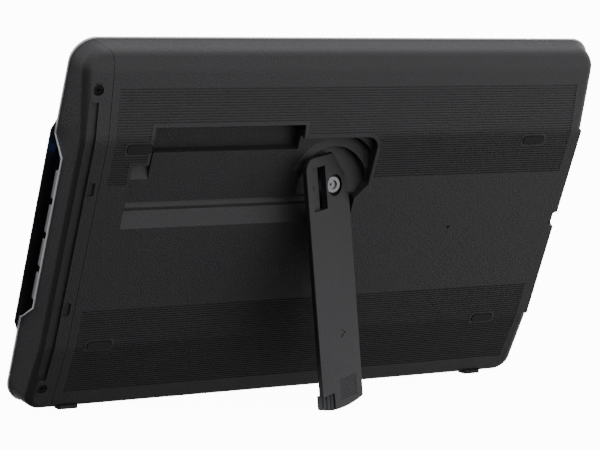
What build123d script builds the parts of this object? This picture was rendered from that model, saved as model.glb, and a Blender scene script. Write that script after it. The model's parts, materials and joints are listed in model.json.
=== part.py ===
from build123d import *
from math import cos, hypot, radians, sin, tan
import os

# A pen display tablet standing on its swing-out leg. Millimetres, +Z up, X to the sides,
# the screen faces -Y and the back faces +Y. The origin is on the table under the middle.

# ---- Driving dimensions ---------------------------------------------------------------
lean = 20.6                  # how far the tablet leans back from upright, degrees
body_width = 411.0           # across the trim line
top_edge = 98.2              # trim line above the pivot line
bottom_edge = -173.5         # trim line below the pivot line
corner_radius = 17.0         # corners of the outline at the trim line
housing_depth = 26.7         # flat of the back down to the trim line
side_draft = 14.0            # slope of the side walls, degrees
wall = 2.4                   # moulded wall of the rear shells
rim_radius = 6.0             # rounding of the back edges
bend_radius = 30.0           # soft bends between the facets of the back
top_bend = 38.5              # where the top facet starts
top_tilt = 13.0              # slope of the top facet, degrees
edge_bend = 83.0             # where the band along the top edge starts
edge_tilt = 19.0             # slope of that band, degrees
low_bend = -116.6            # where the bottom facet starts
low_tilt = 7.0               # slope of the bottom facet, degrees

seam = -181.3                # end cap seam, across from the middle
seam_gap = 0.3               # visible joint line
seam_turn = 12.0             # depth at which the seam turns outward on the top and bottom walls
seam_shift = 12.5            # how far it has turned at the trim line

grip_top = 38.5              # square grip on the side edge, upper end
grip_low = -115.0            # lower end
grip_width = 24.0            # how far in from the edge the grip block reaches

# hinge and leg: the axis leans upward out of the back, so the leg swings down and away
pivot_across = -1.5
pivot_along = 0.6
hinge_tilt = 21.6            # axis to the normal of the back, degrees
swing = 96.9                 # folded to standing, degrees
leg_upper = 30.7             # pivot to the leg's upper side when folded
leg_lower = 15.6             # pivot to its lower side
head_wall = 37.0             # pocket wall above the head
head_play = 4.6              # end of the head to the pocket wall
pocket_turn = 17.0           # lower right wall of the pocket
leg_thickness = 4.6
leg_depth = 9.6              # underside of the leg trimmed this far below the pivot point
head_round = 10.0            # rounded corner of the leg's head
head_sweep = 35.4            # circle that the head's corner sweeps
head_side = 22.6             # flat end of the head
head_slope = ((-0.5, 22.6), (-11.0, 7.0), (-15.6, -14.0))  # slanted corner of the head, y and x
tip_radius = 90.0            # arc across the tip
tip_rise = 7.0               # arc centre above the pivot line
hub_radius = 13.5            # boss behind the head
hub_sweep = 27.0             # circle in which the head is kept shallow
hub_drop = 7.5               # underside of the hub below the pivot point
swing_gap = 0.5              # leg underside to the pocket floor
pocket_gap = 2.3             # leg outline to the pocket walls
tray_wall = 1.6              # wall of the moulded pocket

foot_length = 12.8           # rubber foot along the leg
foot_side = 17.6             # rubber foot starts this far above the pivot line
foot_top = 5.0               # top of the foot above the pivot point, along the axis
foot_base = 7.8              # underside of the foot below the leg's face
foot_play = 0.4              # foot to the shelf that covers it when folded
foot_proud = 0.6             # rubber past the plastic at the tip

mark_depth = 0.35            # moulded ribs and turning arrow on the face
mark_ribs = 9
mark_rib_pitch = 1.7
mark_ribs_from = 14.0
mark_arrow_from = 44.0

screw_head_radius = 6.0
screw_shoulder_radius = 4.0
screw_thread_radius = 2.5
screw_seat = 5.0             # counterbore floor below the pivot point
screw_head_height = 2.2
counterbore_radius = 7.5
window_low = 9.7             # window in the head, across the leg
window_high = 24.5
window_left = -14.5
window_right = 15.5
window_depth = 2.6
window_slot = 5.4            # part of the window that is cut right through
running_fit = 0.05           # radial clearance of the shoulder in the bush
bush_wall = 1.6
washer_thickness = 0.4

recess_left = -148.0         # finger recess above the folded leg
recess_right = -35.0
recess_top = 46.4
recess_depth = 12.0

groove_pitch = 1.8
groove_width = 0.9
groove_depth = 0.6
groove_margin = 2.6          # plain border round the pocket
upper_grooves = (-176.0, 189.0, 5.3, 72.5)      # left, right, lowest, highest
lower_grooves = (-175.0, 189.0, -155.0, -88.0)

pad_across = 157.6
pad_along = (31.8, -116.2)
pad_length = 18.6
pad_width = 7.0
pad_round = 3.0
pad_gap = 0.45               # open line round each pad
pad_thickness = 1.4
pad_sink = 1.0

cap_screw_across = -191.3
cap_screw_along = (70.8, -150.6)
cap_screw_hole = 3.6
channel_right = -190.5       # soft channel down the end cap
channel_left = -197.2
channel_depth = 1.5
channel_length = 206.0
channel_middle = -40.0
slot_across = -187.0
slot_along = (3.4, -86.4)
slot_size = (4.6, 9.6)

foot_pad_across = 168.0      # rubber feet on the bottom edge
foot_pad_length = 15.0
foot_pad_width = 9.0
foot_pad_stand = 1.6         # housing above the table

bezel_thickness = 30.0       # flat of the back to the front of the screen frame
trim_height = 1.4
trim_proud = 0.7
trim_inset = 2.6
bay_trim_height = 0.8         # trim round the key opening
lip_reach = 3.2              # side lips of the screen frame past the outline
lip_top = 33.0
lip_low = -111.0
lip_slope = 12.0

key_count = 4
key_length = 20.2
key_pitch = 25.2
key_first = -2.7             # middle of the top key
key_height = 4.4
key_out = -19.4              # middle of the keys in depth
key_travel = 0.8
key_play = 0.3
key_face = 203.4             # outer face of the keys, from the middle
key_bay_top = 31.0
key_bay_low = -107.0
key_bay_corner = 13.0
key_bay_depth = 10.6         # trim line steps toward the back by this much
key_plate_face = 199.2       # face of the strip behind the keys
lens_along = 15.0

display_width = 331.2
display_height = 207.0
glass_thickness = 1.2
panel_thickness = 4.0

notch_along = -34.5          # cable notch in the side grip
notch_radius = 6.0
notch_depth = 5.5
inlet_radius = 2.0            # round power inlet in the wall of the notch
inlet_bore = 1.4
inlet_pin = 0.5
inlet_depth = -2.9
inlet_length = 9.0
side_edge = body_width / 2 - housing_depth * tan(radians(side_draft))  # side edge of the back

reset_across = 103.7
reset_along = -36.8
reset_hole = 1.0

# ---- Planes that follow the leaning tablet ---------------------------------------------
right = Vector(-1, 0, 0)                                       # across, seen from behind
up = Vector(0, sin(radians(lean)), cos(radians(lean)))          # along the back
out = Vector(0, cos(radians(lean)), -sin(radians(lean)))        # out of the back


def rim_centre(side, edge, bend, depth, tilt):
    """Centre of a rounded back edge: where lines one radius inside wall and facet meet."""
    draft = radians(side_draft)
    slope = radians(tilt)
    wall_reach = edge * side * cos(draft) - housing_depth * sin(draft) - rim_radius
    facet_reach = bend * side * sin(slope) + depth * cos(slope) - rim_radius
    determinant = side * cos(draft) * cos(slope) - sin(draft) * side * sin(slope)
    along = (wall_reach * cos(slope) - facet_reach * sin(draft)) / determinant
    depth = (side * cos(draft) * facet_reach - side * sin(slope) * wall_reach) / determinant
    return along, depth


low_rim = rim_centre(-1, bottom_edge, low_bend, 0, low_tilt)
edge_depth = (top_bend - edge_bend) * tan(radians(top_tilt))
top_rim = rim_centre(1, top_edge, edge_bend, edge_depth, edge_tilt)
front_round = 1.0
lowest = cos(radians(lean)) * low_rim[0] - sin(radians(lean)) * low_rim[1] - rim_radius - foot_pad_stand
rearmost = sin(radians(lean)) * top_rim[0] + cos(radians(lean)) * top_rim[1] + rim_radius
foremost = (sin(radians(lean)) * (bottom_edge + front_round)
            + cos(radians(lean)) * (front_round - bezel_thickness) - front_round)
home = Vector(0, -(rearmost + foremost) / 2, -lowest)           # pivot height on the back's flat


def back_plane(depth, across=0.0, along=0.0):
    """Plane parallel to the flat of the back, x across and y up the tablet."""
    return Plane(home + right * across + up * along + out * depth, x_dir=right, z_dir=out)


def side_plane(across):
    """Plane seen from the side, x up the tablet and y out of its back."""
    return Plane(home + right * across, x_dir=up, z_dir=right)


def end_plane(along):
    """Plane seen from the top end, x across and y out of the back; its normal points down."""
    return Plane(home + up * along, x_dir=right, z_dir=up * -1)


os.makedirs("parts", exist_ok=True)
across_axis = Axis(home, right)
along_axis = Axis(home, up)

tilt = radians(hinge_tilt)
pivot = home + right * pivot_across + up * pivot_along
hinge_direction = up * sin(tilt) + out * cos(tilt)
folded = Plane(pivot, x_dir=right, z_dir=hinge_direction)
turned = folded.x_dir * cos(radians(swing)) + folded.y_dir * sin(radians(swing))
standing = Plane(pivot, x_dir=turned, z_dir=hinge_direction)


def folded_plane(height):
    """Plane square to the hinge axis, x across the tablet."""
    return Plane(pivot + hinge_direction * height, x_dir=right, z_dir=hinge_direction)


def swing_plane(height):
    """Plane square to the hinge axis, turned with the standing leg."""
    return Plane(pivot + hinge_direction * height, x_dir=standing.x_dir, z_dir=hinge_direction)


# the face of the leg is flush with the back when folded, so it is tilted to the hinge axis
face_normal = standing.y_dir * -sin(tilt) + standing.z_dir * cos(tilt)


def face_plane(depth):
    """Plane parallel to the face of the standing leg, x away from its tip."""
    return Plane(pivot + face_normal * depth, x_dir=standing.x_dir, z_dir=face_normal)


# the leg is as long as it takes for its rubber foot to reach the table
down = Vector(0, 0, -1)
down_x = down.dot(face_plane(0).x_dir)
down_y = down.dot(face_plane(0).y_dir)
down_out = down.dot(face_normal)
tip_drop = down_y * tip_rise + tip_radius * hypot(down_x, down_y) + max(0, -down_out * foot_base)
tip_centre = (pivot.Z - tip_drop) / down_x
tip_end = tip_centre - tip_radius
leg_sweep = hypot(tip_centre, tip_rise) + tip_radius
leg_lowest = -leg_depth - swing_gap
foot_lowest = foot_side * sin(tilt) - foot_base / cos(tilt) - swing_gap


# ---- Shared shapes ---------------------------------------------------------------------
def housing_form(inset, rounded=True):
    """Outside of the rear housing, or the same shape drawn in by an even wall."""
    side = inset / cos(radians(side_draft))
    past = 20.0
    with BuildPart() as form:
        with BuildSketch(back_plane(-housing_depth, 0, (top_edge + bottom_edge) / 2)):
            RectangleRounded(body_width - 2 * side, top_edge - bottom_edge - 2 * side,
                             corner_radius - inset)
        extrude(amount=housing_depth, taper=side_draft)
        with BuildSketch(side_plane(-body_width)) as profile:
            with BuildLine():
                Polyline(
                    (bottom_edge - past, -housing_depth),
                    (bottom_edge - past, (bottom_edge - past - low_bend) * tan(radians(low_tilt)) - inset),
                    (low_bend, -inset),
                    (top_bend, -inset),
                    (edge_bend, edge_depth - inset),
                    (top_edge + past,
                     edge_depth + (edge_bend - top_edge - past) * tan(radians(edge_tilt)) - inset),
                    (top_edge + past, -housing_depth),
                    close=True,
                )
            make_face()
            fillet(profile.vertices().sort_by(Axis.X)[2:5], bend_radius)
        extrude(amount=2 * body_width, mode=Mode.INTERSECT)
        if rounded:
            facets = form.faces().filter_by(lambda face: face.normal_at().dot(out) > 0.9)
            cross = facets.edges().filter_by(across_axis).sort_by(along_axis)
            sides = facets.edges().filter_by(lambda edge: abs(edge.tangent_at(0.5).dot(right)) < 0.99)
            fillet(ShapeList([cross[0], cross[-1]]) + sides, rim_radius - inset)
    return form.part


def grip_form(inset):
    """Housing shape with the square grip left on the far side edge."""
    with BuildPart() as form:
        with BuildSketch(back_plane(-housing_depth)):
            with Locations(((body_width - grip_width) / 2, (grip_top + grip_low) / 2)):
                Rectangle(grip_width, grip_top - grip_low - 2 * inset)
        extrude(amount=housing_depth + 1)
        add(housing_form(inset, rounded=False), mode=Mode.INTERSECT)
        add(housing_form(inset))
    return form.part


def end_cap_zone(gap):
    """Everything on the end cap's side of the seam."""
    with BuildPart() as zone:
        with BuildSketch(end_plane(top_edge + 10)):
            with BuildLine():
                Polyline(
                    (-body_width, 5),
                    (seam - gap, 5),
                    (seam - gap, -seam_turn),
                    (seam - seam_shift - gap, -housing_depth - 1),
                    (-body_width, -housing_depth - 1),
                    close=True,
                )
            make_face()
        extrude(amount=top_edge - bottom_edge + 30)
    return zone.part


pocket_left = pivot_across - leg_sweep - 1.9
pocket_right = pivot_across + head_side + head_play
pocket_top = pivot_along + leg_upper + pocket_gap
pocket_low = pivot_along - leg_lower - 0.6
ramp_end = pivot_along + leg_lowest / sin(tilt) - 2.0
shelf_edge = pivot_along + foot_side + 1.6
foot_bay_right = pivot_across + tip_end + foot_length + 0.8
shelf_under = foot_top + foot_play


def draw_pocket(low_side, grow):
    """Outline of the leg pocket on the back, seen from behind, round the shelf at the tip."""
    with BuildLine() as border:
        Polyline(
            (pocket_left, shelf_edge),
            (recess_left - 0.5, shelf_edge),
            (recess_left, recess_top),
            (recess_right, recess_top),
            (recess_right, head_wall),
            (pocket_right, head_wall),
            (pocket_right, pivot_along + head_slope[0][0]),
            (pocket_turn, pivot_along + head_slope[1][0]),
            (pocket_turn, low_side),
            (pocket_left, low_side),
            close=True,
        )
    make_face(border.edges())
    fillet(vertices().group_by(Axis.X)[-1].sort_by(Axis.Y)[-1], 9.5)
    if grow:
        offset(amount=grow, kind=Kind.INTERSECTION)


def pocket_space(grow):
    """Space that the folded and swinging leg needs, or the outside of the tray round it."""
    deep = 3 * housing_depth
    with BuildPart() as ramp:
        with BuildSketch(back_plane(-deep)):
            draw_pocket(ramp_end, grow)
        extrude(amount=deep + 2)
        with BuildSketch(swing_plane(leg_lowest - grow)):
            Rectangle(900, 900)
        extrude(amount=900, mode=Mode.INTERSECT)
        with BuildSketch(back_plane(-deep, 0, pocket_low + 6)):
            Rectangle(900, 900, align=(Align.CENTER, Align.MAX))
        extrude(amount=2 * deep, mode=Mode.INTERSECT)
    with BuildPart() as hub:
        with BuildSketch(swing_plane(-hub_drop - swing_gap - grow)):
            Circle(hub_sweep + grow)
        extrude(amount=deep)
        with BuildSketch(swing_plane(-1.2 - grow)):
            Circle(head_sweep + grow)
        extrude(amount=deep)
        with BuildSketch(back_plane(-deep)):
            draw_pocket(ramp_end, grow)
        extrude(amount=deep + 2, mode=Mode.INTERSECT)
    with BuildPart() as foot_bay:
        with BuildSketch(back_plane(-foot_base - 0.6 - grow)):
            with BuildLine():
                Polyline(
                    (pocket_left - grow, pivot_along + 4.0 - grow),
                    (foot_bay_right + grow, pivot_along + 4.0 - grow),
                    (foot_bay_right + grow, pocket_top + grow),
                    (pocket_left - grow, pocket_top + grow),
                    close=True,
                )
            make_face()
        extrude(amount=deep)
        with BuildSketch(swing_plane(foot_lowest - grow)):
            Rectangle(900, 900)
        extrude(amount=shelf_under - foot_lowest + 2 * grow, mode=Mode.INTERSECT)
    with BuildPart() as space:
        with BuildSketch(back_plane(-leg_thickness - 0.6 - grow)):
            draw_pocket(pocket_low, grow)
        extrude(amount=leg_thickness + 2 + grow)
        with BuildSketch(back_plane(-recess_depth - grow, (recess_left + recess_right) / 2, recess_top + grow)):
            Rectangle(recess_right - recess_left + 2 * grow, recess_top - pocket_top + 7 + 2 * grow,
                      align=(Align.CENTER, Align.MAX))
        extrude(amount=recess_depth + 2 + grow)
        add(ramp.part)
        add(hub.part)
        add(foot_bay.part)
    return space.part


def draw_bay(shrink):
    """Side outline of the key opening: up the tablet and out of the back."""
    reach = key_bay_corner
    with BuildLine() as border:
        Polyline(
            (key_bay_top - shrink, -housing_depth - 4),
            (key_bay_top - shrink, -housing_depth),
            (key_bay_top - reach - shrink / 2, -housing_depth + key_bay_depth - shrink),
            (key_bay_low + reach + shrink / 2, -housing_depth + key_bay_depth - shrink),
            (key_bay_low + shrink, -housing_depth),
            (key_bay_low + shrink, -housing_depth - 4),
            close=True,
        )
    make_face(border.edges())


def key_bay_zone(shrink):
    """The key opening cut through the left side wall."""
    with BuildPart() as zone:
        with BuildSketch(side_plane(-body_width / 2 - 5)):
            draw_bay(shrink)
        extrude(amount=16)
    return zone.part


# ---- Rear housing ----------------------------------------------------------------------
pocket = pocket_space(0)
pad_spots = [(side * pad_across, along) for side in (-1, 1) for along in pad_along]
case_screw_spots = [(pad_across, pad_along[0]), (pad_across, pad_along[1]), (-pad_across, pad_along[1])]
shell_form = grip_form(0)
shell_core = grip_form(wall)
chassis_top = -20.7
chassis_thickness = 1.0
case_screw_radius = 1.5
case_boss_radius = 4.2
standoff_top = -17.0


def facet_height(along):
    """Depth of the back's surface at a height on the tablet."""
    if along > top_bend:
        return (top_bend - along) * tan(radians(top_tilt))
    return min(0.0, (along - low_bend) * tan(radians(low_tilt)))


def groove_cutter(limits):
    """Fine grooves across the back inside one rectangle."""
    left, far, low, high = limits
    count = int((high - low) / groove_pitch)
    with BuildPart() as slabs:
        with BuildSketch(back_plane(-housing_depth / 2, (left + far) / 2, (low + high) / 2)):
            with GridLocations(1, groove_pitch, 1, count):
                Rectangle(far - left, groove_width)
        extrude(amount=housing_depth)
        add(housing_form(groove_depth, rounded=False), mode=Mode.SUBTRACT)
        with BuildSketch(back_plane(-housing_depth / 2)):
            draw_pocket(ramp_end, groove_margin)
        extrude(amount=housing_depth, mode=Mode.SUBTRACT)
        for across, along in pad_spots:
            with BuildSketch(back_plane(-housing_depth / 2, across, along)):
                RectangleRounded(pad_length + 3, pad_width + 3, pad_round)
            extrude(amount=housing_depth, mode=Mode.SUBTRACT)
    return slabs.part


tray = pocket_space(tray_wall)
with BuildPart() as notch_liner:
    with BuildSketch(back_plane(-notch_depth - wall, side_edge, notch_along)):
        Circle(notch_radius + wall)
    extrude(amount=housing_depth)
    add(shell_form, mode=Mode.INTERSECT)

with BuildPart() as back_cover:
    add(shell_form)
    add(shell_core, mode=Mode.SUBTRACT)
    add(tray & shell_form)
    for across, along in case_screw_spots:
        with BuildSketch(back_plane(standoff_top, across, along)):
            Circle(case_boss_radius)
        extrude(amount=facet_height(along) - 0.6 - standoff_top)
    add(notch_liner.part)
    add(pocket, mode=Mode.SUBTRACT)
    add(end_cap_zone(0), mode=Mode.SUBTRACT)
    for limits in (upper_grooves, lower_grooves):
        add(groove_cutter(limits), mode=Mode.SUBTRACT)
    for across, along in pad_spots:
        with BuildSketch(back_plane(facet_height(along) - pad_sink, across, along)):
            RectangleRounded(pad_length, pad_width, pad_round)
        extrude(amount=pad_sink + 2, mode=Mode.SUBTRACT)
    for across, along in case_screw_spots:
        with BuildSketch(back_plane(standoff_top - 1, across, along)):
            Circle(case_screw_radius + 0.2)
        extrude(amount=housing_depth, mode=Mode.SUBTRACT)
        with BuildSketch(back_plane(standoff_top + 6, across, along)):
            Circle(case_screw_radius * 2 + 0.2)
        extrude(amount=housing_depth, mode=Mode.SUBTRACT)
    with BuildSketch(swing_plane(-hub_drop - 10)):
        Circle(screw_shoulder_radius + 0.3)
    extrude(amount=12, mode=Mode.SUBTRACT)
    with BuildSketch(back_plane(-wall - 1, reset_across, reset_along)):
        Circle(reset_hole)
    extrude(amount=wall + 2, mode=Mode.SUBTRACT)
    with BuildSketch(back_plane(-notch_depth, side_edge, notch_along)):
        Circle(notch_radius)
    extrude(amount=notch_depth + 2, mode=Mode.SUBTRACT)
    with BuildSketch(side_plane(side_edge - notch_radius - inlet_length - 0.2)):
        with Locations((notch_along, inlet_depth)):
            Circle(inlet_radius + 0.1)
    extrude(amount=inlet_length + 6, mode=Mode.SUBTRACT)
back_cover.part.label = "back_cover"
export_step(back_cover.part, "parts/back_cover.step")


# ---- End cap ---------------------------------------------------------------------------
cap_screws = [(cap_screw_across, along) for along in cap_screw_along]
cap_boss_low = -16.0
with BuildPart() as channel:
    with BuildSketch(back_plane(-housing_depth / 2, (channel_left + channel_right) / 2, channel_middle)):
        Rectangle(channel_right - channel_left, channel_length)
    extrude(amount=housing_depth)
    add(housing_form(channel_depth, rounded=False), mode=Mode.SUBTRACT)

with BuildPart() as end_cap:
    add(shell_form)
    add(shell_core, mode=Mode.SUBTRACT)
    for across, along in cap_screws:
        with BuildSketch(back_plane(cap_boss_low, across, along)):
            Circle(cap_screw_hole + 1.2)
        extrude(amount=facet_height(along) - 0.8 - cap_boss_low)
    add(end_cap_zone(seam_gap), mode=Mode.INTERSECT)
    add(key_bay_zone(0), mode=Mode.SUBTRACT)
    for across, along in cap_screws:
        with BuildSketch(back_plane(facet_height(along) - 2.6, across, along)):
            Circle(cap_screw_hole)
        extrude(amount=6, mode=Mode.SUBTRACT)
        with BuildSketch(back_plane(cap_boss_low - 1, across, along)):
            Circle(case_screw_radius + 0.2)
        extrude(amount=housing_depth, mode=Mode.SUBTRACT)
    add(channel.part, mode=Mode.SUBTRACT)
    for along in slot_along:
        with BuildSketch(back_plane(-1.2, slot_across, along)):
            RectangleRounded(slot_size[0], slot_size[1], 1.0)
        extrude(amount=2, mode=Mode.SUBTRACT)
end_cap.part.label = "end_cap"
export_step(end_cap.part, "parts/end_cap.step")

# ---- Trim round the joint between the rear shells and the screen frame -----------------
middle = (top_edge + bottom_edge) / 2
body_height = top_edge - bottom_edge
trim_break = 170.0


def trim_part(centre, size):
    """Part of the thin bright ring inside a rectangle on the trim plane."""
    with BuildPart() as ring:
        with BuildSketch(back_plane(-housing_depth - trim_height, 0, middle)):
            RectangleRounded(body_width + 2 * trim_proud, body_height + 2 * trim_proud, corner_radius)
            RectangleRounded(body_width - 2 * trim_inset, body_height - 2 * trim_inset,
                             corner_radius - trim_inset, mode=Mode.SUBTRACT)
        extrude(amount=trim_height)
        with BuildSketch(back_plane(-housing_depth - trim_height, centre[0], centre[1])):
            Rectangle(size[0], size[1])
        extrude(amount=trim_height, mode=Mode.INTERSECT)
    return ring.part


side_centre = (body_width / 2 + trim_break) / 2 + 2
side_width = body_width / 2 - trim_break + 3.6
with BuildPart() as bay_trim:
    with BuildSketch(side_plane(-body_width / 2 - 5)) as band:
        draw_bay(0)
    extrude(amount=16)
    add(key_bay_zone(bay_trim_height), mode=Mode.SUBTRACT)
    add(housing_form(-trim_proud, rounded=False), mode=Mode.INTERSECT)
    add(housing_form(trim_inset, rounded=False), mode=Mode.SUBTRACT)

with BuildPart() as left_trim:
    add(trim_part((-side_centre, middle), (side_width, 2 * body_height)))
    add(key_bay_zone(bay_trim_height), mode=Mode.SUBTRACT)
    add(bay_trim.part)
left_trim.part.label = "left_trim"
export_step(left_trim.part, "parts/left_trim.step")

with BuildPart() as right_trim:
    add(trim_part((side_centre, middle), (side_width, 2 * body_height)))
right_trim.part.label = "right_trim"
export_step(right_trim.part, "parts/right_trim.step")

with BuildPart() as top_trim:
    add(trim_part((0, top_edge), (2 * trim_break - 0.6, 20)))
top_trim.part.label = "top_trim"
export_step(top_trim.part, "parts/top_trim.step")

with BuildPart() as bottom_trim:
    add(trim_part((0, bottom_edge), (2 * trim_break - 0.6, 20)))
bottom_trim.part.label = "bottom_trim"
export_step(bottom_trim.part, "parts/bottom_trim.step")

# ---- Screen frame ----------------------------------------------------------------------
frame_back = -housing_depth - trim_height
chassis_low = chassis_top - chassis_thickness
frame_screw_radius = 1.2
frame_screw_spots = [(side * 186.0, along) for side in (-1, 1) for along in (66.0, middle, -142.0)]
with BuildPart() as front_bezel:
    with BuildSketch(back_plane(-bezel_thickness, 0, middle)):
        RectangleRounded(body_width - 0.4, body_height - 0.4, corner_radius)
        for side in (-1, 1):
            with BuildLine():
                Polyline(
                    (side * (body_width / 2 - 2), lip_top + lip_slope - middle),
                    (side * (body_width / 2 + lip_reach), lip_top - middle),
                    (side * (body_width / 2 + lip_reach), lip_low - middle),
                    (side * (body_width / 2 - 2), lip_low - lip_slope - middle),
                    close=True,
                )
            make_face()
    extrude(amount=frame_back + bezel_thickness)
    with BuildSketch(back_plane(frame_back, 0, middle)):
        RectangleRounded(body_width - 7.8, body_height - 7.8, corner_radius - 4)
        RectangleRounded(body_width - 10.6, body_height - 10.6, corner_radius - 5.4, mode=Mode.SUBTRACT)
    extrude(amount=3.5)
    chamfer(front_bezel.faces().sort_by(Axis(home, out))[0].edges(), 0.6)
    for across, along in frame_screw_spots:
        with BuildSketch(back_plane(frame_back, across, along)):
            Circle(3.2)
        extrude(amount=chassis_low - frame_back)
        with BuildSketch(back_plane(frame_back, across, along)):
            Circle(frame_screw_radius)
        extrude(amount=chassis_low - frame_back, mode=Mode.SUBTRACT)
    with BuildSketch(back_plane(-bezel_thickness, 0, middle)):
        RectangleRounded(display_width, display_height, 1.5)
    extrude(amount=bezel_thickness, mode=Mode.SUBTRACT)
front_bezel.part.label = "front_bezel"
export_step(front_bezel.part, "parts/front_bezel.step")


# ---- Screen stack, from the glass back to the chassis ----------------------------------
def screen_layer(name, margin, low, thickness):
    """One flat layer behind the window of the screen frame."""
    with BuildPart() as layer:
        with BuildSketch(back_plane(low, 0, middle)):
            RectangleRounded(display_width + 2 * margin, display_height + 2 * margin, 2)
        extrude(amount=thickness)
    layer.part.label = name
    export_step(layer.part, "parts/" + name + ".step")
    return low + thickness


glass_back = screen_layer("screen_glass", 6.0, frame_back, glass_thickness)
panel_back = screen_layer("lcd_panel", 5.5, glass_back, panel_thickness)
sensor_back = screen_layer("digitizer_sensor", 4.0, panel_back, 0.8)
screen_layer("shield_plate", 4.5, sensor_back, chassis_low - sensor_back)

chassis_width = 390.0
chassis_height = 245.0
standoff_radius = 3.2
with BuildPart() as chassis_frame:
    with BuildSketch(back_plane(chassis_low, 0, middle)):
        RectangleRounded(chassis_width, chassis_height, 6)
    extrude(amount=chassis_thickness)
    with BuildSketch(back_plane(chassis_low, 0, middle)):
        for across, along in [(-90.0, 78.0), (0.0, 78.0), (90.0, 78.0), (-60.0, -86.0), (60.0, -86.0)]:
            with Locations((across, along)):
                RectangleRounded(50, 22, 4)
    extrude(amount=chassis_thickness, mode=Mode.SUBTRACT)
    for across, along in case_screw_spots + cap_screws:
        top = standoff_top if (across, along) in case_screw_spots else cap_boss_low
        with BuildSketch(back_plane(chassis_top, across, along)):
            Circle(standoff_radius)
        extrude(amount=top - chassis_top)
        with BuildSketch(back_plane(chassis_low, across, along)):
            Circle(case_screw_radius)
        extrude(amount=top - chassis_low, mode=Mode.SUBTRACT)
    for across, along in frame_screw_spots:
        with BuildSketch(back_plane(chassis_low, across, along)):
            Circle(frame_screw_radius + 0.2)
        extrude(amount=chassis_thickness, mode=Mode.SUBTRACT)
chassis_frame.part.label = "chassis_frame"
export_step(chassis_frame.part, "parts/chassis_frame.step")


# ---- Screws ----------------------------------------------------------------------------
def screw_set(name, spots, radius, length, head_radius, head_height):
    """Equal cross-head screws standing square to the back; a spot is across, along, seat."""
    with BuildPart() as screws:
        for across, along, seat in spots:
            with BuildSketch(back_plane(seat - length, across, along)):
                Circle(radius)
            extrude(amount=length)
            with BuildSketch(back_plane(seat, across, along)):
                Circle(head_radius)
            extrude(amount=head_height)
            with BuildSketch(back_plane(seat + head_height / 3, across, along)):
                Rectangle(head_radius * 1.2, head_radius * 0.28)
                Rectangle(head_radius * 0.28, head_radius * 1.2)
            extrude(amount=head_height, mode=Mode.SUBTRACT)
    screws.part.label = name
    export_step(screws.part, "parts/" + name + ".step")


screw_set("frame_screws", [(across, along, chassis_top) for across, along in frame_screw_spots],
          frame_screw_radius, 5.5, 2.2, 1.3)
screw_set("end_cap_screws", [(across, along, facet_height(along) - 2.6) for across, along in cap_screws],
          case_screw_radius, facet_height(cap_screw_along[0]) - 2.6 - cap_boss_low + 4, 3.1, 1.7)
screw_set("case_screws", [(across, along, standoff_top + 6) for across, along in case_screw_spots],
          case_screw_radius, 8.5, case_screw_radius * 2, 1.8)

# ---- Circuit boards --------------------------------------------------------------------
board_low = -17.6
board_thickness = 1.6
with BuildPart() as main_board:
    with BuildSketch(back_plane(board_low, 100, -38)):
        RectangleRounded(130, 92, 2)
    extrude(amount=board_thickness)
    for across, along, width, height, tall in [(70, -20, 22, 22, 3.0), (110, -15, 14, 14, 2.4),
                                               (130, -60, 18, 10, 4.0), (75, -62, 12, 8, 2.0)]:
        with BuildSketch(back_plane(board_low + board_thickness, across, along)):
            Rectangle(width, height)
        extrude(amount=tall)
    with BuildSketch(back_plane(board_low + board_thickness, reset_across, reset_along)):
        Rectangle(6, 6)
    extrude(amount=3.4)
    for across, along in [(42, 2), (158, 2), (42, -78), (158, -78)]:
        with BuildSketch(back_plane(chassis_top, across, along)):
            Circle(2.6)
        extrude(amount=board_low - chassis_top)
main_board.part.label = "main_board"
export_step(main_board.part, "parts/main_board.step")

with BuildPart() as backlight_board:
    with BuildSketch(back_plane(chassis_top, 0, -140)):
        Rectangle(6, 10)
        with Locations((-60, 0), (60, 0)):
            Rectangle(6, 10)
    extrude(amount=2)
    with BuildSketch(back_plane(chassis_top + 2, 0, -140)):
        Rectangle(160, 18)
    extrude(amount=1.4)
    with BuildSketch(back_plane(chassis_top + 3.4, 20, -140)):
        with GridLocations(26, 1, 4, 1):
            Rectangle(14, 12)
    extrude(amount=4)
backlight_board.part.label = "backlight_board"
export_step(backlight_board.part, "parts/backlight_board.step")

with BuildPart() as power_inlet:
    with BuildSketch(side_plane(side_edge - notch_radius - inlet_length)):
        with Locations((notch_along, inlet_depth)):
            Circle(inlet_radius)
    extrude(amount=inlet_length - 0.3)
    with BuildSketch(side_plane(side_edge - notch_radius - inlet_length + 2)):
        with Locations((notch_along, inlet_depth)):
            Circle(inlet_bore)
            Circle(inlet_pin, mode=Mode.SUBTRACT)
    extrude(amount=inlet_length, mode=Mode.SUBTRACT)
power_inlet.part.label = "power_inlet"
export_step(power_inlet.part, "parts/power_inlet.step")

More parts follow.
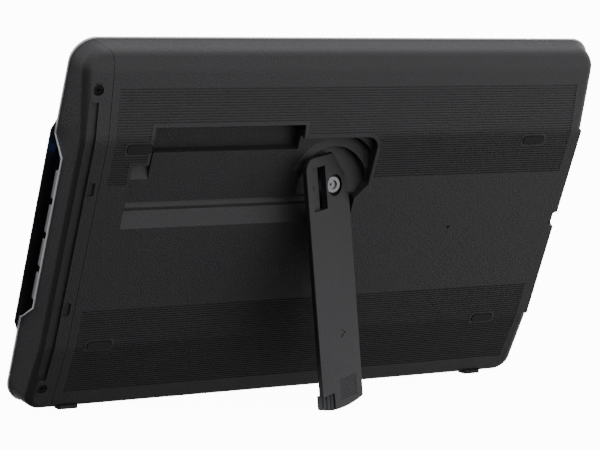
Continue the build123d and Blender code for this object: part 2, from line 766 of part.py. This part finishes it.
# ---- Keys in the left edge -------------------------------------------------------------
strip_thickness = 1.4
strip_back = -key_plate_face + strip_thickness
key_flange = 0.8
board_gap = 0.2
key_spots = [key_first - number * key_pitch for number in range(key_count)]
with BuildPart() as key_strip:
    with BuildSketch(side_plane(-key_plate_face)):
        with Locations(((key_bay_top + key_bay_low) / 2, key_out - 0.6)):
            Rectangle(key_bay_top - key_bay_low - 8, 11.0)
        for spot in key_spots:
            with Locations((spot, key_out)):
                RectangleRounded(key_length + 2 * key_play, key_height + 2 * key_play, 1.2, mode=Mode.SUBTRACT)
        with Locations((lens_along, key_out)):
            Circle(1.7, mode=Mode.SUBTRACT)
    extrude(amount=strip_thickness)
    with BuildSketch(side_plane(-key_plate_face - 2.0)):
        for spot in key_spots[:-1]:
            with Locations((spot - key_pitch / 2, key_out)):
                RectangleRounded(2.0, 3.0, 0.6)
    extrude(amount=2.0)
    with BuildSketch(side_plane(strip_back)):
        for along in (key_bay_top - 9, key_bay_low + 9):
            with Locations((along, (chassis_top + chassis_low) / 2)):
                Rectangle(6, chassis_thickness)
    extrude(amount=-strip_back - chassis_width / 2)
key_strip.part.label = "key_strip"
export_step(key_strip.part, "parts/key_strip.step")

flange_out = strip_back + key_play
for number, spot in enumerate(key_spots, start=1):
    with BuildPart() as key:
        with BuildSketch(side_plane(-key_face)):
            with Locations((spot, key_out)):
                RectangleRounded(key_length, key_height, 1.0)
        extrude(amount=key_face + flange_out)
        fillet(key.faces().sort_by(across_axis)[0].edges(), 0.5)
        with BuildSketch(side_plane(flange_out)):
            with Locations((spot, key_out)):
                Rectangle(key_length + 2.4, key_height + 2.4)
        extrude(amount=key_flange)
    key.part.label = "key_" + str(number)
    export_step(key.part, "parts/key_" + str(number) + ".step")

switch_face = flange_out + key_flange + key_travel + board_gap
with BuildPart() as key_board:
    with BuildSketch(side_plane(switch_face + 1.3)):
        with Locations((key_spots[0] - 1.5 * key_pitch + 6, chassis_top + 4.6)):
            Rectangle(4 * key_pitch + 16, 9.2)
    extrude(amount=1.2)
    with BuildSketch(side_plane(switch_face)):
        for spot in key_spots:
            with Locations((spot, key_out + 0.6)):
                Rectangle(4.5, 3.6)
    extrude(amount=1.3)
key_board.part.label = "key_board"
export_step(key_board.part, "parts/key_board.step")

with BuildPart() as power_lens:
    with BuildSketch(side_plane(-key_plate_face - 1.4)):
        with Locations((lens_along, key_out)):
            Circle(1.6)
    extrude(amount=1.4 + strip_thickness)
    fillet(power_lens.faces().sort_by(across_axis)[0].edges(), 0.6)
    with BuildSketch(side_plane(strip_back)):
        with Locations((lens_along, key_out)):
            Circle(2.4)
    extrude(amount=0.8)
power_lens.part.label = "power_lens"
export_step(power_lens.part, "parts/power_lens.step")

# ---- Rubber pads and feet --------------------------------------------------------------
with BuildPart() as back_pads:
    for across, along in pad_spots:
        with BuildSketch(back_plane(facet_height(along) - pad_sink, across, along)):
            RectangleRounded(pad_length - 2 * pad_gap, pad_width - 2 * pad_gap, pad_round - pad_gap)
        extrude(amount=pad_thickness)
back_pads.part.label = "back_pads"
export_step(back_pads.part, "parts/back_pads.step")

foot_line = sin(radians(lean)) * low_rim[0] + cos(radians(lean)) * low_rim[1] + home.Y
with BuildPart() as bottom_feet:
    with BuildSketch(Plane.XY):
        with Locations((-foot_pad_across, foot_line), (foot_pad_across, foot_line)):
            RectangleRounded(foot_pad_length, foot_pad_width, 2)
    extrude(amount=foot_pad_stand + 1.0)
    add(shell_form, mode=Mode.SUBTRACT)
bottom_feet.part.label = "bottom_feet"
export_step(bottom_feet.part, "parts/bottom_feet.step")

# ---- Leg -------------------------------------------------------------------------------
plate_run = leg_thickness / cos(tilt)


def tip_point(radius, height):
    """Point on the arc across the tip, at a height above the pivot line."""
    return (tip_centre - (radius ** 2 - (height - tip_rise) ** 2) ** 0.5, height)


plastic_tip = tip_radius - foot_proud
foot_inner = tip_end + foot_length
with BuildPart() as leg:
    with BuildSketch(face_plane(0)):
        with BuildLine():
            ThreePointArc(tip_point(plastic_tip, -leg_lower), tip_point(plastic_tip, 0),
                          tip_point(plastic_tip, foot_side))
            Polyline(
                tip_point(plastic_tip, foot_side),
                (foot_inner, foot_side),
                (foot_inner, leg_upper),
                (head_side, leg_upper),
                (head_slope[0][1], head_slope[0][0]),
                (head_slope[1][1], head_slope[1][0]),
                (head_slope[2][1], head_slope[2][0]),
                tip_point(plastic_tip, -leg_lower),
            )
        make_face()
        fillet(vertices().group_by(Axis.X)[-1].sort_by(Axis.Y)[-1], head_round)
    extrude(amount=-plate_run, dir=hinge_direction)
    with BuildSketch(swing_plane(-leg_depth)):
        Rectangle(900, 900)
    extrude(amount=60, mode=Mode.INTERSECT)
    chamfer(leg.faces().sort_by(Axis(pivot, face_normal))[-1].edges(), 0.45)
    with BuildSketch(swing_plane(-hub_drop)):
        Circle(hub_radius)
    extrude(amount=hub_drop - 4.4)
    with BuildSketch(swing_plane(-hub_drop - 10)):
        Circle(hub_sweep + 0.5)
    extrude(amount=10, mode=Mode.SUBTRACT)
    with BuildSketch(swing_plane(-screw_seat)):
        Circle(counterbore_radius)
    extrude(amount=screw_seat + 8, mode=Mode.SUBTRACT)
    with BuildSketch(swing_plane(-hub_drop)):
        Circle(screw_shoulder_radius + running_fit + bush_wall)
    extrude(amount=hub_drop, mode=Mode.SUBTRACT)
    window_width = window_right - window_left
    with BuildSketch(face_plane(-window_depth)):
        with Locations(((window_left + window_right) / 2, (window_low + window_high) / 2)):
            Rectangle(window_width, window_high - window_low)
    extrude(amount=window_depth + 1, mode=Mode.SUBTRACT)
    with BuildSketch(face_plane(-2 * hub_drop)):
        with Locations(((window_left + window_right) / 2, window_low + window_slot / 2)):
            Rectangle(window_width, window_slot)
    extrude(amount=2 * hub_drop, mode=Mode.SUBTRACT)
    with BuildSketch(face_plane(-window_depth - 0.5)):
        with Locations((1.0, window_high - 4.2)):
            Circle(1.5)
    extrude(amount=1.3)
    with BuildSketch(face_plane(-mark_depth)):
        with Locations((tip_end + mark_ribs_from, 1.0)):
            with GridLocations(mark_rib_pitch, 1, mark_ribs, 1):
                Rectangle(0.7, 19)
        with Locations((tip_end + mark_arrow_from, 4.0)):
            SlotArc(CenterArc((0, 0), 9.0, 20, 75, mode=Mode.PRIVATE), 3.0)
        with Locations((tip_end + mark_arrow_from + 9.0, 3.6)):
            Triangle(a=7, b=7, c=7, rotation=180)
    extrude(amount=1, mode=Mode.SUBTRACT)
leg.part.label = "leg"
export_step(leg.part, "parts/leg.step")

with BuildPart() as leg_foot:
    with BuildSketch(face_plane(0)):
        with BuildLine():
            ThreePointArc(tip_point(tip_radius, foot_side), tip_point(tip_radius, (foot_side + leg_upper) / 2),
                          tip_point(tip_radius, leg_upper))
            Polyline(
                tip_point(tip_radius, leg_upper),
                (foot_inner, leg_upper),
                (foot_inner, foot_side),
                tip_point(tip_radius, foot_side),
            )
        make_face()
    extrude(amount=15, dir=hinge_direction, both=True)
    with BuildSketch(face_plane(-foot_base)):
        Rectangle(900, 900)
    extrude(amount=60, mode=Mode.INTERSECT)
    with BuildSketch(swing_plane(foot_top)):
        Rectangle(900, 900)
    extrude(amount=-60, mode=Mode.INTERSECT)
    with BuildSketch(swing_plane(foot_top - 0.6)):
        for height in (20.6, 24.0, 27.4):
            with Locations((foot_inner - foot_length / 2, height * cos(tilt))):
                Rectangle(foot_length + 6, 1.1)
    extrude(amount=5, mode=Mode.SUBTRACT)
leg_foot.part.label = "leg_foot"
export_step(leg_foot.part, "parts/leg_foot.step")

# ---- Hinge -----------------------------------------------------------------------------
tray_under = hub_drop + swing_gap + tray_wall
bracket_thickness = 1.5
bracket_length = 34.0
bracket_width = 15.0
bracket_shift = 2.6          # clear of the ramp below the hub
nut_height = 4.0
with BuildPart() as hinge_bush:
    with BuildSketch(swing_plane(-hub_drop)):
        Circle(screw_shoulder_radius + running_fit + bush_wall)
        Circle(screw_shoulder_radius + running_fit, mode=Mode.SUBTRACT)
    extrude(amount=hub_drop - screw_seat)
hinge_bush.part.label = "hinge_bush"
export_step(hinge_bush.part, "parts/hinge_bush.step")

with BuildPart() as pivot_screw:
    with BuildSketch(swing_plane(-screw_seat + 0.1)):
        Circle(screw_head_radius)
    extrude(amount=screw_head_height)
    fillet(pivot_screw.edges().sort_by(Axis(pivot, hinge_direction))[-1], 0.8)
    with BuildSketch(swing_plane(-tray_under)):
        Circle(screw_shoulder_radius)
    extrude(amount=tray_under - screw_seat + 0.1)
    with BuildSketch(swing_plane(-tray_under - bracket_thickness - nut_height - 0.6)):
        Circle(screw_thread_radius)
    extrude(amount=bracket_thickness + nut_height + 0.6)
    with BuildSketch(swing_plane(-screw_seat + 0.8)):
        Circle(3.3)
    extrude(amount=screw_head_height, mode=Mode.SUBTRACT)
    with BuildSketch(swing_plane(-screw_seat + 0.8)):
        Circle(1.0)
    extrude(amount=1.2)
pivot_screw.part.label = "pivot_screw"
export_step(pivot_screw.part, "parts/pivot_screw.step")

with BuildPart() as hinge_washer:
    with BuildSketch(swing_plane(-hub_drop - swing_gap)):
        Circle(hub_radius - 1)
        Circle(screw_shoulder_radius + 0.3, mode=Mode.SUBTRACT)
    extrude(amount=washer_thickness)
hinge_washer.part.label = "hinge_washer"
export_step(hinge_washer.part, "parts/hinge_washer.step")

with BuildPart() as hinge_bracket:
    with BuildSketch(folded_plane(-tray_under - bracket_thickness)):
        with Locations((0, bracket_shift)):
            RectangleRounded(bracket_length, bracket_width, 3)
        Circle(screw_thread_radius + 0.1, mode=Mode.SUBTRACT)
    extrude(amount=bracket_thickness)
hinge_bracket.part.label = "hinge_bracket"
export_step(hinge_bracket.part, "parts/hinge_bracket.step")

with BuildPart() as hinge_nut:
    with BuildSketch(swing_plane(-tray_under - bracket_thickness - nut_height)):
        RegularPolygon(4.6, 6)
        Circle(screw_thread_radius + 0.05, mode=Mode.SUBTRACT)
    extrude(amount=nut_height)
hinge_nut.part.label = "hinge_nut"
export_step(hinge_nut.part, "parts/hinge_nut.step")
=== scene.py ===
import json
import math

import bpy
import numpy as np
from mathutils import Matrix, Vector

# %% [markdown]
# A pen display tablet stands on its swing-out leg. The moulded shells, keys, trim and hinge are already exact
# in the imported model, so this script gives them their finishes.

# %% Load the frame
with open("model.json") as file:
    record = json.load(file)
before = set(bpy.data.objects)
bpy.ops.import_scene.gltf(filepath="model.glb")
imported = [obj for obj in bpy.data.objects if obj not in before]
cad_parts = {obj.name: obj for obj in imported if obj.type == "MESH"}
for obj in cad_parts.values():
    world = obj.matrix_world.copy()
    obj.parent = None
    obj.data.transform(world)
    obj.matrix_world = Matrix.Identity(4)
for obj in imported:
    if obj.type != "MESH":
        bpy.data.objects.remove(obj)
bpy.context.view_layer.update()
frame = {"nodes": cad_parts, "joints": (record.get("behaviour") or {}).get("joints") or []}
nodes = frame["nodes"]

# %% [markdown]
# Everything on the tablet is square to its back, which leans. A small helper turns "across, up the back, out
# of the back" into a place in the frame, so that the camera's aim and the lights' target are given in the same
# way as a designer would measure them on the bench.

# %% The leaning frame of the back
LEAN = math.radians(20.6)
ACROSS = np.array([-1.0, 0.0, 0.0])
ALONG = np.array([0.0, math.sin(LEAN), math.cos(LEAN)])
OUT = np.array([0.0, math.cos(LEAN), -math.sin(LEAN)])
hinge = next(joint for joint in frame["joints"] if joint["name"] == "leg_swing")
PIVOT = np.array(hinge["pos_m"])
PIVOT_ACROSS, PIVOT_ALONG = -0.0015, 0.0006
HOME = PIVOT - ACROSS * PIVOT_ACROSS - ALONG * PIVOT_ALONG


def on_back(across, along, out=0.0):
    """Point on the tablet: home plus each measure times its direction."""
    return HOME + ACROSS * across + ALONG * along + OUT * out


print("home of the back", [round(float(v), 4) for v in HOME])

# %% [markdown]
# The camera looks at the back from its left, a little from above, with a long lens that keeps
# the edges nearly parallel. Its direction is an azimuth and an elevation, and it is rolled
# slightly. A Track To constraint could aim it instead, but a matrix also takes the roll.

# %% Camera
CAMERA_AZIMUTH, CAMERA_ELEVATION, CAMERA_ROLL = 148.87, 8.06, 2.25
CAMERA_DISTANCE = 1.55
CAMERA_LENS, SENSOR_WIDTH = 135.5, 36.0
CAMERA_AIM = (-0.0231, -0.0286, 0.0019)
camera_data = bpy.data.cameras.new("camera")
camera_data.lens = CAMERA_LENS
camera_data.sensor_width = SENSOR_WIDTH
camera = bpy.data.objects.new("camera", camera_data)
bpy.context.scene.collection.objects.link(camera)
bpy.context.scene.camera = camera
turn, rise = math.radians(CAMERA_AZIMUTH), math.radians(CAMERA_ELEVATION)
backward = Vector((math.sin(turn) * math.cos(rise), -math.cos(turn) * math.cos(rise),
                   math.sin(rise)))
aim = Vector(on_back(*CAMERA_AIM))
level = Vector((0, 0, 1)).cross(backward).normalized()
axes = Matrix((level, backward.cross(level), backward)).transposed()
camera.matrix_world = (Matrix.Translation(aim + backward * CAMERA_DISTANCE)
                       @ axes.to_4x4() @ Matrix.Rotation(math.radians(CAMERA_ROLL), 4, "Z"))
print("camera at", [round(v, 3) for v in camera.matrix_world.translation])

# %% [markdown]
# The tablet stands on a plain pale floor. The floor is seen by the camera and takes the
# shadow, but sends no light back, because dark satin plastic would show its glare and lose
# the soft steps from facet to facet.

# %% Floor
FLOOR_SIZE = 60.0
FLOOR_TONE, FLOOR_GLOW = 0.93, 12.0
half = FLOOR_SIZE / 2
corners = [(-half, -half, 0), (half, -half, 0), (half, half, 0), (-half, half, 0)]
floor_mesh = bpy.data.meshes.new("floor")
floor_mesh.from_pydata(corners, [], [(0, 1, 2, 3)])
floor = bpy.data.objects.new("floor", floor_mesh)
bpy.context.scene.collection.objects.link(floor)
floor_material = bpy.data.materials.new("floor_paper")
floor_material.use_nodes = True
floor_shader = floor_material.node_tree.nodes["Principled BSDF"]
floor_shader.inputs["Base Color"].default_value = (FLOOR_TONE, FLOOR_TONE, FLOOR_TONE, 1)
floor_shader.inputs["Roughness"].default_value = 0.9
floor_shader.inputs["Specular IOR Level"].default_value = 0.0
floor_shader.inputs["Emission Color"].default_value = (1, 1, 1, 1)
floor_shader.inputs["Emission Strength"].default_value = FLOOR_GLOW
floor_mesh.materials.append(floor_material)
floor.visible_diffuse = False
floor.visible_glossy = False
print("floor", FLOOR_SIZE, "m across")

# %% [markdown]
# A studio tent is a bright ceiling that fades to dark near the table. Each facet of the back
# mirrors a different height of it, so the fade is what tells the facets apart. A picture of a
# room could light the world too, but a ramp along one axis needs no file and is easy to set.
# The camera itself sees a plain white backdrop.

# %% Studio sky
SKY_AXIS = (-0.45, -0.10, 0.89)
SKY_DARK, SKY_BRIGHT = (0.06, 0.06, 0.063, 1), (1.2, 1.2, 1.23, 1)
SKY_FADE_FROM, SKY_FADE_TO = 0.22, 0.50
BACKDROP_GLOW = 14.0
world = bpy.data.worlds.new("studio")
bpy.context.scene.world = world
world.use_nodes = True
sky = world.node_tree
sky.nodes.clear()
direction = sky.nodes.new("ShaderNodeTexCoord")
sky_height = sky.nodes.new("ShaderNodeVectorMath")
sky_height.operation = "DOT_PRODUCT"
sky_height.inputs[1].default_value = SKY_AXIS
spread = sky.nodes.new("ShaderNodeMapRange")
spread.inputs["From Min"].default_value = -1.0
spread.inputs["From Max"].default_value = 1.0
ramp = sky.nodes.new("ShaderNodeValToRGB")
ramp.color_ramp.interpolation = "EASE"
dark_end, bright_end = ramp.color_ramp.elements
dark_end.position, bright_end.position = SKY_FADE_FROM, SKY_FADE_TO
dark_end.color, bright_end.color = SKY_DARK, SKY_BRIGHT
soft = sky.nodes.new("ShaderNodeBackground")
backdrop = sky.nodes.new("ShaderNodeBackground")
backdrop.inputs["Color"].default_value = (1, 1, 1, 1)
backdrop.inputs["Strength"].default_value = BACKDROP_GLOW
seen = sky.nodes.new("ShaderNodeLightPath")
choose = sky.nodes.new("ShaderNodeMixShader")
result = sky.nodes.new("ShaderNodeOutputWorld")
sky.links.new(direction.outputs["Generated"], sky_height.inputs[0])
sky.links.new(sky_height.outputs["Value"], spread.inputs["Value"])
sky.links.new(spread.outputs["Result"], ramp.inputs["Fac"])
sky.links.new(ramp.outputs["Color"], soft.inputs["Color"])
sky.links.new(seen.outputs["Is Camera Ray"], choose.inputs["Fac"])
sky.links.new(soft.outputs["Background"], choose.inputs[1])
sky.links.new(backdrop.outputs["Background"], choose.inputs[2])
sky.links.new(choose.outputs["Shader"], result.inputs["Surface"])
print("sky nodes", len(sky.nodes))

# %% [markdown]
# Two square soft boxes add the light that has a direction. The key light hangs high behind the
# tablet and draws its top wall, and a weak one in front keeps the screen side readable. Area
# lights are used, because a point light would leave hard little highlights on the plastic.

# %% Soft boxes


def soft_box(name, place, target, size, power):
    """Square area light at a place, turned so that its face looks at the target."""
    data = bpy.data.lights.new(name, "AREA")
    data.shape = "SQUARE"
    data.size = size
    data.energy = power
    lamp = bpy.data.objects.new(name, data)
    bpy.context.scene.collection.objects.link(lamp)
    place, target = Vector(place), Vector(target)
    facing = (place - target).to_track_quat("Z", "Y").to_matrix().to_4x4()
    lamp.matrix_world = Matrix.Translation(place) @ facing
    return lamp


centre = Vector(on_back(0, -0.04, 0))
key_light = soft_box("key_light", centre + Vector((-0.9, 0.75, 2.2)), centre, 1.1, 9.0)
front_light = soft_box("front_light", centre + Vector((-0.4, -2.2, 1.6)), centre, 1.6, 7.0)
print("soft boxes, W", key_light.data.energy, front_light.data.energy)

# %% [markdown]
# Plastics share one grain and metals share one turned surface, so each effect is built once as
# a node group. Copying the nodes into every material would also work, but then a change has to
# be made many times. Two small helpers make an empty group and add a node to it.

# %% Helpers for node groups
GROUP_OUTPUTS = [("Normal", "NodeSocketVector"), ("Roughness", "NodeSocketFloat"),
                 ("Tone", "NodeSocketFloat")]


def new_group(name, inputs, outputs):
    """Empty shader node group with the given float inputs and typed outputs."""
    group = bpy.data.node_groups.new(name, "ShaderNodeTree")
    for title, value in inputs:
        socket = group.interface.new_socket(name=title, in_out="INPUT", socket_type="NodeSocketFloat")
        socket.default_value = value
    for title, kind in outputs:
        group.interface.new_socket(name=title, in_out="OUTPUT", socket_type=kind)
    enter = group.nodes.new("NodeGroupInput")
    leave = group.nodes.new("NodeGroupOutput")
    return group, enter, leave


def add_node(tree, kind, **values):
    """New node with some of its properties or input sockets set by name."""
    node = tree.nodes.new(kind)
    for name, value in values.items():
        if hasattr(node, name):
            setattr(node, name, value)
        else:
            node.inputs[name.replace("_", " ")].default_value = value
    return node


print("each group puts out", [title for title, kind in GROUP_OUTPUTS])

# %% [markdown]
# Moulded plastic has a fine spark-eroded grain, which breaks up the highlight, and a faint
# unevenness of gloss and tone from handling and from the way the wall cools. The grain could be
# modelled, but at a fraction of a millimetre a bump reads the same. The group reads Object
# coordinates, so the grain stays on the piece when the piece moves.

# %% Moulded grain
GRAIN_RELIEF = 0.00045
grain, enter, leave = new_group(
    "moulded_grain",
    [("Scale", 2600.0), ("Depth", 0.25), ("Roughness", 0.45), ("Variation", 0.08)], GROUP_OUTPUTS)
place = add_node(grain, "ShaderNodeTexCoord")
fine = add_node(grain, "ShaderNodeTexNoise", Detail=3.0, Roughness=0.6)
broad = add_node(grain, "ShaderNodeTexNoise", Scale=55.0, Detail=4.0)
smudge = add_node(grain, "ShaderNodeTexNoise", Scale=14.0, Detail=6.0, Roughness=0.65)
bump = add_node(grain, "ShaderNodeBump", Distance=GRAIN_RELIEF)
sway = add_node(grain, "ShaderNodeMapRange")
sway.inputs["To Min"].default_value = -1.0
scaled = add_node(grain, "ShaderNodeMath", operation="MULTIPLY")
total = add_node(grain, "ShaderNodeMath", operation="ADD")
tone_sway = add_node(grain, "ShaderNodeMapRange")
tone_sway.inputs["To Min"].default_value = 0.90
tone_sway.inputs["To Max"].default_value = 1.10
grain.links.new(place.outputs["Object"], fine.inputs["Vector"])
grain.links.new(place.outputs["Object"], broad.inputs["Vector"])
grain.links.new(place.outputs["Object"], smudge.inputs["Vector"])
grain.links.new(enter.outputs["Scale"], fine.inputs["Scale"])
grain.links.new(enter.outputs["Depth"], bump.inputs["Strength"])
grain.links.new(fine.outputs["Fac"], bump.inputs["Height"])
grain.links.new(smudge.outputs["Fac"], sway.inputs["Value"])
grain.links.new(sway.outputs["Result"], scaled.inputs[0])
grain.links.new(enter.outputs["Variation"], scaled.inputs[1])
grain.links.new(enter.outputs["Roughness"], total.inputs[0])
grain.links.new(scaled.outputs["Value"], total.inputs[1])
grain.links.new(broad.outputs["Fac"], tone_sway.inputs["Value"])
grain.links.new(bump.outputs["Normal"], leave.inputs["Normal"])
grain.links.new(total.outputs["Value"], leave.inputs["Roughness"])
grain.links.new(tone_sway.outputs["Result"], leave.inputs["Tone"])
print(grain.name, "nodes", len(grain.nodes))

# %% [markdown]
# Screws, sheet and the bush are metal with very fine tool marks and cloudy patches where oil or
# plating is thicker. An anisotropic shader could show the marks on large faces, but the metal
# that shows here is small screws, so a small bump and an uneven roughness are enough.

# %% Turned metal
TOOL_MARK_RELIEF = 0.00003
turned, enter, leave = new_group("turned_metal", [("Depth", 0.2), ("Roughness", 0.3)], GROUP_OUTPUTS)
place = add_node(turned, "ShaderNodeTexCoord")
fine = add_node(turned, "ShaderNodeTexNoise", Scale=1900.0, Detail=2.0)
cloud = add_node(turned, "ShaderNodeTexNoise", Scale=160.0, Detail=5.0)
bump = add_node(turned, "ShaderNodeBump", Distance=TOOL_MARK_RELIEF)
spread_rough = add_node(turned, "ShaderNodeMapRange")
spread_rough.inputs["To Min"].default_value = -0.08
spread_rough.inputs["To Max"].default_value = 0.12
total = add_node(turned, "ShaderNodeMath", operation="ADD")
tone_sway = add_node(turned, "ShaderNodeMapRange")
tone_sway.inputs["To Min"].default_value = 0.85
tone_sway.inputs["To Max"].default_value = 1.08
turned.links.new(place.outputs["Object"], fine.inputs["Vector"])
turned.links.new(place.outputs["Object"], cloud.inputs["Vector"])
turned.links.new(enter.outputs["Depth"], bump.inputs["Strength"])
turned.links.new(fine.outputs["Fac"], bump.inputs["Height"])
turned.links.new(cloud.outputs["Fac"], spread_rough.inputs["Value"])
turned.links.new(enter.outputs["Roughness"], total.inputs[0])
turned.links.new(spread_rough.outputs["Result"], total.inputs[1])
turned.links.new(cloud.outputs["Fac"], tone_sway.inputs["Value"])
turned.links.new(bump.outputs["Normal"], leave.inputs["Normal"])
turned.links.new(total.outputs["Value"], leave.inputs["Roughness"])
turned.links.new(tone_sway.outputs["Result"], leave.inputs["Tone"])
print(turned.name, "nodes", len(turned.nodes))

# %% [markdown]
# A finish is one Principled shader with a group plugged into it. What is the same all over a
# piece, such as how metallic it is, is set on the shader itself. What changes over the surface
# comes from the group: tone, roughness and normal. The shader stays outside the group, because
# an exporter can't read it there.

# %% Finishes


def finish_material(name, group, color, metallic=0.0, specular=0.5, coat=0.0, **settings):
    """Principled material whose tone, roughness and normal come from one of the groups."""
    material = bpy.data.materials.new(name)
    material.use_nodes = True
    tree = material.node_tree
    shader = tree.nodes["Principled BSDF"]
    shader.inputs["Metallic"].default_value = metallic
    shader.inputs["Specular IOR Level"].default_value = specular
    shader.inputs["Coat Weight"].default_value = coat
    texture = tree.nodes.new("ShaderNodeGroup")
    texture.node_tree = group
    for key, value in settings.items():
        texture.inputs[key].default_value = value
    tint = add_node(tree, "ShaderNodeMix", data_type="RGBA", blend_type="MULTIPLY")
    tint.inputs["Factor"].default_value = 1.0
    for socket in tint.inputs:
        if socket.type == "RGBA" and socket.name == "A":
            socket.default_value = (*color, 1)
        if socket.type == "RGBA" and socket.name == "B":
            tree.links.new(texture.outputs["Tone"], socket)
    mixed = [socket for socket in tint.outputs if socket.type == "RGBA"][0]
    tree.links.new(mixed, shader.inputs["Base Color"])
    tree.links.new(texture.outputs["Roughness"], shader.inputs["Roughness"])
    tree.links.new(texture.outputs["Normal"], shader.inputs["Normal"])
    return material


def dress(material, *names):
    """Puts one material on every slot of the named pieces."""
    for name in names:
        mesh = nodes[name].data
        mesh.materials.clear()
        mesh.materials.append(material)


print("pieces to dress", len(nodes))

# %% [markdown]
# The rear shells are charcoal ABS with a fine matt grain, and the leg is the same plastic with a slightly
# finer grain. The screen frame and key strip are almost black, the keys carry a satin silver-grey paint, and
# the pads and feet are matt rubber. The leg's foot is a lighter grey copy of that rubber, which paints on the
# pale reflection its ribs show.

# %% Plastics
shell_plastic = finish_material("shell_plastic", grain, (0.020, 0.020, 0.0212), specular=0.5,
                                Scale=1150.0, Depth=0.8, Roughness=0.38, Variation=0.05)
leg_plastic = finish_material("leg_plastic", grain, (0.017, 0.017, 0.018), specular=0.30,
                              Scale=1250.0, Depth=0.7, Roughness=0.38, Variation=0.05)
frame_plastic = finish_material("frame_plastic", grain, (0.008, 0.008, 0.009), specular=0.3,
                                Scale=3200.0, Depth=0.12, Roughness=0.34, Variation=0.06)
key_plastic = finish_material("key_plastic", grain, (0.30, 0.305, 0.315), metallic=0.4,
                              specular=0.5, Scale=3000.0, Depth=0.15, Roughness=0.35, Variation=0.05)
rubber = finish_material("soft_rubber", grain, (0.014, 0.014, 0.015), specular=0.3,
                         Scale=1800.0, Depth=0.5, Roughness=0.62, Variation=0.1)
# The leg's foot gets a lighter copy of the rubber. This is a painted reflection, standing in for the pale
# sheen on its ribs.
foot_rubber = finish_material("foot_rubber", grain, (0.06, 0.062, 0.066), specular=0.3,
                              Scale=1800.0, Depth=0.5, Roughness=0.6, Variation=0.1)
dress(shell_plastic, "back_cover", "end_cap")
dress(leg_plastic, "leg")
dress(frame_plastic, "front_bezel", "key_strip")
dress(key_plastic, "key_1", "key_2", "key_3", "key_4")
dress(rubber, "back_pads", "bottom_feet")
dress(foot_rubber, "leg_foot")
print("plastics and rubber", len(bpy.data.materials))

# %% [markdown]
# The trim is plastic with a thin metallic paint, so it takes the moulded grain and is only
# partly metallic. The other pieces are true metals: bright plated screws, darker hinge steel,
# blackened screws in the end cap, pressed sheet, and a sintered bronze bush.

# %% Trim and metals
silver_paint = finish_material("silver_trim", grain, (0.80, 0.81, 0.83), metallic=0.35,
                               Scale=3600.0, Depth=0.1, Roughness=0.38, Variation=0.05)
steel = finish_material("turned_steel", turned, (0.55, 0.55, 0.57), metallic=1.0,
                        Depth=0.25, Roughness=0.28)
dark_steel = finish_material("hinge_steel", turned, (0.24, 0.24, 0.245), metallic=1.0,
                             Depth=0.2, Roughness=0.3)
black_steel = finish_material("blackened_steel", turned, (0.035, 0.035, 0.038), metallic=0.8,
                              Depth=0.25, Roughness=0.34)
sheet = finish_material("pressed_sheet", turned, (0.62, 0.63, 0.65), metallic=1.0, Depth=0.15, Roughness=0.36)
bronze = finish_material("sintered_bronze", turned, (0.45, 0.30, 0.12), metallic=1.0, Depth=0.5, Roughness=0.4)
dress(silver_paint, "left_trim", "right_trim", "top_trim", "bottom_trim")
dress(dark_steel, "pivot_screw")
dress(steel, "hinge_washer", "hinge_nut", "frame_screws", "case_screws")
dress(black_steel, "end_cap_screws", "power_inlet")
dress(sheet, "chassis_frame", "shield_plate", "hinge_bracket")
dress(bronze, "hinge_bush")
print("with metals", len(bpy.data.materials))

# %% [markdown]
# The screen is a dark panel behind finely etched glass. Clear glass over a lit panel would be closer to one in
# use, but this one is switched off, so an almost black, lightly rough surface is enough. The boards are green
# lacquer. The lens by the keys has a painted glow, so that it shows blue in the shade of the key strip
# although the tablet is switched off.

# %% Screen, boards and lens
LENS_PAINTED_GLOW = 4.0
screen_face = finish_material("etched_glass", grain, (0.010, 0.011, 0.013), specular=0.28, coat=0.0,
                              Scale=4200.0, Depth=0.06, Roughness=0.2, Variation=0.03)
panel_face = finish_material("dark_panel", grain, (0.01, 0.011, 0.013), Scale=4000.0, Depth=0.05,
                             Roughness=0.25, Variation=0.02)
solder_mask = finish_material("solder_mask", grain, (0.01, 0.07, 0.03), coat=0.3, Scale=900.0, Depth=0.2,
                              Roughness=0.4, Variation=0.1)
lens = finish_material("blue_lens", grain, (0.05, 0.16, 0.75), specular=0.6, coat=0.6, Scale=2500.0,
                       Depth=0.05, Roughness=0.15, Variation=0.02)
lens_shader = lens.node_tree.nodes["Principled BSDF"]
# The lens's emission is a painted glow. It keeps the blue visible in the shade by the keys, though the tablet
# is off.
lens_shader.inputs["Emission Color"].default_value = (0.10, 0.30, 1.0, 1)
lens_shader.inputs["Emission Strength"].default_value = LENS_PAINTED_GLOW
dress(screen_face, "screen_glass")
dress(panel_face, "lcd_panel")
dress(solder_mask, "digitizer_sensor", "main_board", "backlight_board", "key_board")
dress(lens, "power_lens")
print("materials", len(bpy.data.materials))
